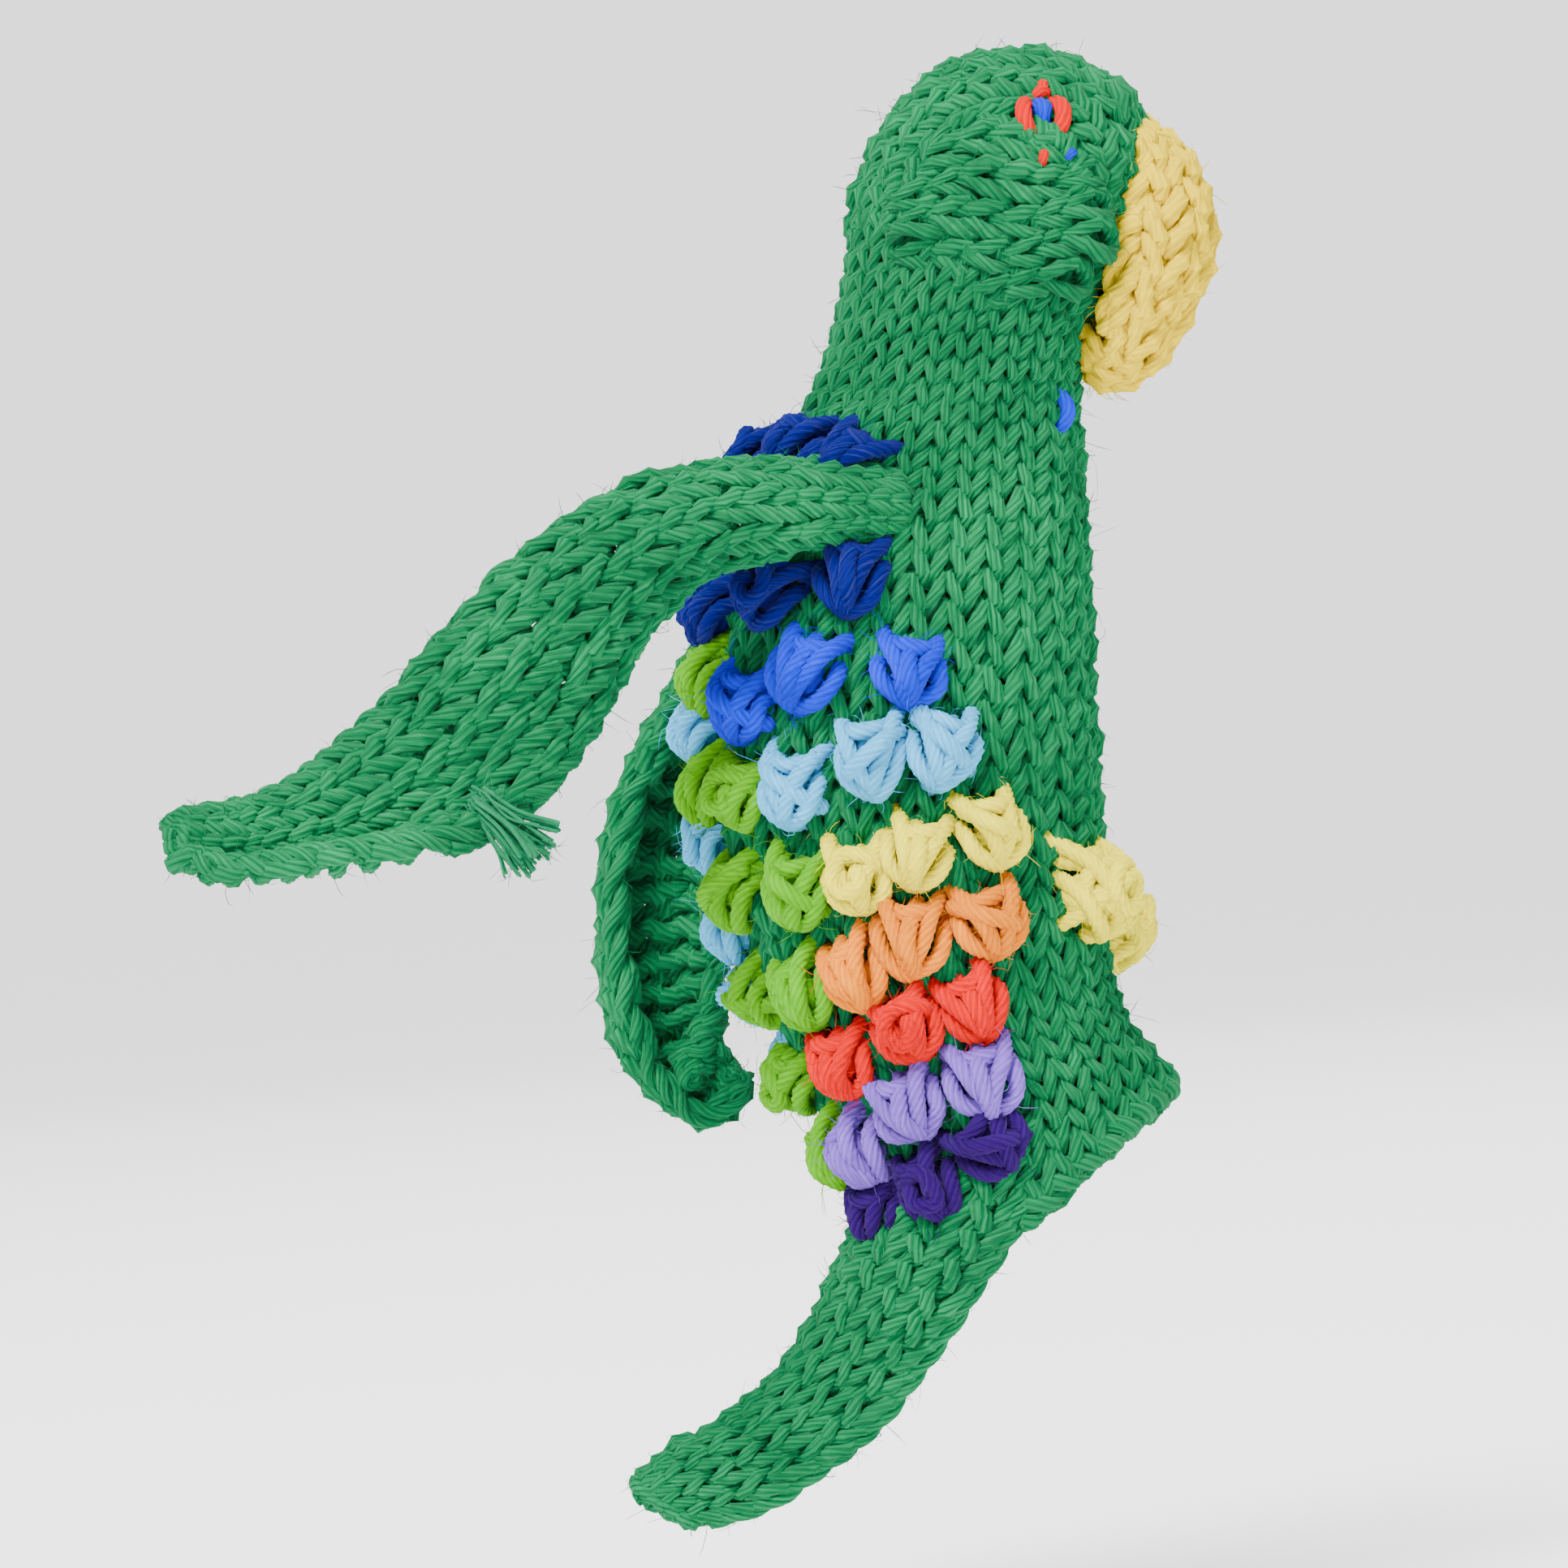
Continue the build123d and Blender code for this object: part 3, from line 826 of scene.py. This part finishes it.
def hem_strands():
    """Two strands twisted round each other along the mouth's edge."""
    line = hem_line(np.linspace(math.radians(86), math.radians(274), 180))
    tangent = np.gradient(line, axis=0)
    tangent /= np.linalg.norm(tangent, axis=1, keepdims=True)
    out = np.cross(tangent, [0.59, 0, -0.8])
    length = np.concatenate([[0], np.cumsum(np.linalg.norm(np.diff(line, axis=0), axis=1))])
    strands = []
    for start in (0, math.pi):
        wind = 2 * math.pi * length / 4.2 + start
        offset = np.cos(wind)[:, None] * out + np.sin(wind)[:, None] * np.cross(tangent, out)
        strands.append(taper(line + 0.6 * offset, np.full(len(line), 0.7)))
    return strands


def knit_trunk():
    """The trunk and neck in four bands of rows, the front panel, and the hem."""
    bands = {"trunk_knit_low": (0, 8), "trunk_knit_middle": (8, 16),
             "trunk_knit_shoulders": (16, 24), "neck_knit": (24, TRUNK_ROWS + 1)}
    made = {}
    for name, (low, high) in bands.items():
        rows = range(low, high)
        loops = [loop_row(trunk_skin, row + 0.5, 0, TRUNK_WALES, closed=True) for row in rows]
        made[name] = spin(name, loops, GREEN, fuzz=2000)
    half = TRUNK_WALES // 2
    made["front_panel_knit"] = spin(
        "front_panel_knit",
        [knit_strip(lambda u, v: front_skin(u + half, v), [-2.5, -1.5, -0.5], half)],
        GREEN,
    )
    made["hem_cord"] = spin("hem_cord", hem_strands(), GREEN)
    for name, piece in made.items():
        if name in ("trunk_knit_shoulders", "neck_knit"):
            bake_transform(piece)
        else:
            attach(piece, "trunk")
    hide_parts("trunk_tube", "shoulder_knot_right", "shoulder_knot_left")
    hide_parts("rim_edging")


def knit_head():
    """Rows over the crown, and a patch of sideways rows on each cheek."""
    crown = knit_strip(dome_skin, range(DOME_ROWS + 1), 6.9)
    cheek_wales = (3.0, 4.6, 5.2, 5.2, 4.6, 3.0)
    cheeks = [
        knit_strip(cheek_skin(side), np.arange(6) + 0.5, lambda i: cheek_wales[i], fat=1.05)
        for side in (-1, 1)
    ]
    head = spin("head_knit", [crown, *cheeks], GREEN, "head", fuzz=2000)
    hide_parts("head_tube")


def stuff_head():
    """A lumpy ball of loose fibre."""
    bm = bmesh.new()
    bmesh.ops.create_icosphere(bm, subdivisions=5, radius=1.0)
    for vertex in bm.verts:
        d = vertex.co.normalized()
        puff = 1 + 0.05 * math.sin(9 * d.x + 4 * d.z) * math.sin(11 * d.y + 3)
        reach = Vector((8.8, 7.2, 9.6)) * (puff + rng.normal(0, 0.012))
        place = (d.x * reach.x + 4.6, d.y * reach.y, d.z * reach.z + 74.6 - SEAT)
        vertex.co = Vector(place) * MM
    mesh = bpy.data.meshes.new("stuffing")
    bm.to_mesh(mesh)
    bm.free()
    places = np.empty(len(mesh.vertices) * 3)
    mesh.vertices.foreach_get("co", places)
    along = places.reshape(-1, 3) / MM * [0.9, 2.2, 2.2]
    mark_fibres(mesh, along, np.ones(len(mesh.vertices)))
    mesh.polygons.foreach_set("use_smooth", [True] * len(mesh.polygons))
    mesh.materials.append(STUFFING)
    stuffing = bpy.data.objects.new("stuffing", mesh)
    bpy.context.scene.collection.objects.link(stuffing)
    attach(stuffing, "head")
    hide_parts("head_stuffing")


def knit_beak():
    """A thick band knitted downwards, with a chain of edge loops along both sides."""
    rows = [row + 0.5 for row in range(BEAK_ROWS)]
    edges = side_chains(beak_skin, BEAK_WALES / 2, 0.3, BEAK_ROWS - 0.2)
    band = knit_strip(beak_skin, rows, BEAK_WALES, fat=1.1)
    beak = spin("beak_knit", [band, *edges], YELLOW, "head", fuzz=700)
    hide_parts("beak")


def sew_eyes():
    """Each eye: two bowed red stitches and one above, round a short blue one."""
    for name, side in (("right", -1), ("left", 1)):
        here, ahead, up, normal = on_dome(8.7, 80.8, side)

        def place(path, radius):
            path = np.array(path, float)
            line = here + path[:, :1] * ahead + path[:, 1:2] * up + path[:, 2:3] * normal
            return strand_of(line, radius, 0.35)

        ring = [
            place([(-0.4, 1.5, -0.2), (-1.2, 0.8, 1.2), (-1.35, -0.5, 1.25), (-0.5, -1.9, -0.3)],
                  0.62),
            place([(0.8, 1.5, -0.2), (1.45, 0.7, 1.2), (1.5, -0.5, 1.25), (0.8, -1.8, -0.3)], 0.62),
            place([(-0.3, 1.4, 0.3), (0.2, 1.9, 1.2), (0.9, 2.2, 0.2)], 0.46),
            place([(0.4, 1.9, 0.6), (0.5, 2.5, 1.0), (0.7, 3.0, 0.2)], 0.4),
            place([(-0.4, -3.6, 0.3), (-0.3, -3.2, 1.0), (-0.1, -2.8, 0.3)], 0.36),
        ]
        pupil = [
            place([(-0.25, 1.0, 0.4), (0.0, 0.6, 1.4), (0.2, -0.3, 0.5)], 0.58),
            place([(0.3, 1.1, 0.4), (0.35, 0.5, 1.3), (0.1, -0.2, 0.5)], 0.5),
            place([(1.5, -3.3, 0.2), (1.8, -3.1, 0.85), (2.1, -2.9, 0.2)], 0.32),
        ]
        eye = spin(f"eye_ring_stitches_{name}", ring, RED, "head")
        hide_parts(f"eye_ring_{name}")
        eye = spin(f"eye_pupil_stitches_{name}", pupil, ROYAL, "head")
        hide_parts(f"eye_pupil_{name}")


def sew_throat():
    """One blue stitch on each side, just under the beak."""
    for name, side in (("right", 1), ("left", -1)):
        u, v = nearest_on_trunk(8.2, 59.9, side)
        here, up, normal = stand_on_trunk(u, v, 0.6)
        line = [
            here + up * 1.9 - normal * 0.6,
            here + normal * 0.7,
            here - up * 1.9 - normal * 0.6,
        ]
        stitch = spin(f"throat_stitch_yarn_{name}", [strand_of(line, 0.56, 0.4)], ROYAL)
        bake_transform(stitch)
        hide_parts(f"throat_stitch_{name}")


FEATHERS = {
    "navy_collar": (NAVY, [(-12.9, 57.7), (-9.7, 57.8), (-6.6, 56.9)]),
    "navy": (NAVY, [(-16.0, 47.4), (-12.4, 48.7), (-7.1, 49.1)]),
    "royal_blue": (ROYAL, [(-15.0, 40.1), (-10.6, 42.2), (-4.0, 42.0)]),
    "sky_blue": (SKY, [(-12.1, 34.5), (-6.9, 35.9), (-2.0, 36.4)]),
    "pale_yellow": (PALE, [(-8.3, 27.5), (-4.1, 29.1), (0.8, 30.2)]),
    "orange": (ORANGE, [(-9.0, 20.7), (-5.0, 23.2), (0.0, 23.7)]),
    "red": (RED, [(-9.9, 14.2), (-5.8, 17.0), (-1.3, 17.8)]),
    "lilac": (LILAC, [(-8.9, 7.7), (-5.9, 11.2), (-0.9, 12.4)]),
    "purple": (PURPLE, [(-7.8, 3.6), (-4.5, 5.2), (-0.6, 7.5)]),
}
LIME_SPINE = [(-17.2, 42.1), (-18.0, 34.7), (-15.4, 34.3), (-16.2, 27.3), (-12.3, 27.0),
              (-15.2, 19.8), (-12.4, 20.1), (-13.0, 13.4), (-10.4, 8.1)]
SKY_SPINE = [(-17.4, 39.0), (-17.6, 31.0), (-17.0, 25.0), (-15.4, 19.5), (-12.8, 14.5)]


def tie_feathers():
    """Rows of knotted bobbles on both sides of the back, and a column each side of the spine."""

    def knot(name, spots, side, material, node):
        strands = []
        for x, z in spots:
            u, v = nearest_on_trunk(x, z, side)
            strands += bobble_strands(*stand_on_trunk(u, v))
        piece = spin(name, strands, material, "trunk", 110 * len(spots), KNOT_PLY_TURN)
        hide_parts(node)

    for colour, (material, spots) in FEATHERS.items():
        for name, side in (("right", 1), ("left", -1)):
            knot(f"{colour}_knots_{name}", spots, side, material, f"feathers_{colour}_{name}")
    floats = []
    for x, z in ((-2.2, 9.6), (-2.8, 15.0), (-2.6, 20.8), (-1.7, 26.6)):
        for side in (1, -1):
            here, up, normal = stand_on_trunk(*nearest_on_trunk(x, z, side), 0.2)
            floats.append(strand_of([
                here + up * 3.2 - normal * 0.8,
                here + up * 1.6 + normal * 0.9,
                here - up * 1.6 + normal * 0.8,
                here - up * 3.2 - normal * 0.8,
            ]))
    spin("floating_strands", floats, GREEN, "trunk", 160)
    knot("lime_spine_knots", LIME_SPINE, 1, LIME, "feathers_lime_spine")
    knot("sky_blue_spine_knots", SKY_SPINE, -1, SKY, "feathers_sky_blue_spine")


def tie_feet():
    """Two feet low on the belly, each of several bobbles tied into one."""
    places = {"right": nearest_on_trunk(6.9, 24.7), "left": (14.0, 5.0)}
    for name, (u, v) in places.items():
        here, up, normal = stand_on_trunk(u, v, 1.5)
        ahead = np.cross(up, normal)
        strands = bobble_strands(here, up, normal, 1.15) + bobble_strands(here, -up, normal, 0.98)
        strands += bobble_strands(here, ahead, normal, 0.9)
        foot = spin(f"foot_knot_{name}", strands, PALE, "trunk", 160, KNOT_PLY_TURN)
        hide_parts(f"foot_{name}")


def knit_tail():
    """A strip with chained edges, curved round the trunk at its root."""
    half = TAIL_WALES / 2
    rows = [row + 0.3 for row in range(TAIL_ROWS + 1)]
    edges = side_chains(tail_skin, half, 0, TAIL_ROWS) + end_cord(tail_skin, -0.2, half)
    strip = knit_strip(tail_skin, rows, TAIL_WALES)
    tail = spin("tail_knit", [strip, *edges], GREEN, fuzz=1500)
    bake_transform(tail)
    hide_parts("tail")


def knit_wings():
    """The raised right wing and the hanging left one, strips with chained edges."""
    for name, table, side, last, facing, pitch, root in (
        ("right", RAISED_WING, -1, 28, (0.25, -1.0, 0.0), 2.0, RAISED_ROOT),
        ("left", HANGING_WING, 1, 24, (-0.1, 1.0, 0.0), 2.3, HANGING_ROOT),
    ):
        skin = wing_skin(table, side, last, WING_WALES, facing)
        half = WING_WALES / 2
        rows = [row + 0.2 for row in range(last + 1)]
        edges = side_chains(skin, half, 0, last, pitch) + end_cord(skin, -0.2, half)
        strip = knit_strip(skin, rows, WING_WALES, 1.06, 1.2)
        wing = spin(f"wing_{name}_knit", [strip, *edges], GREEN, fuzz=1500)
        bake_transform(wing)
        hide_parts(f"wing_{name}")


def fray_yarn_end():
    """The loose end under the raised wing: a fan of thin plies."""
    root = np.array([-34.8, -24.4, 34.6])
    strands = []
    for _ in range(80):
        spread = rng.normal(0, 1, 3)
        way = np.array([0.68, -0.3, -0.7]) + np.array([0.2, 0.12, 0.2]) * spread
        way /= np.linalg.norm(way)
        reach = rng.uniform(4.8, 6.4)
        bend = rng.normal(0, 0.3, 3)
        line = [root + 0.45 * spread, root + way * reach * 0.5 + bend, root + way * reach]
        strands.append(strand_of(line, rng.uniform(0.09, 0.17), 0.6))
    tuft = spin("yarn_end_plies", strands, LOOSE, "right_wing", fuzz=300)
    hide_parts("wing_yarn_end")


knit_trunk()
knit_head()
stuff_head()
knit_beak()
sew_eyes()
sew_throat()
tie_feathers()
tie_feet()
knit_tail()
knit_wings()
fray_yarn_end()
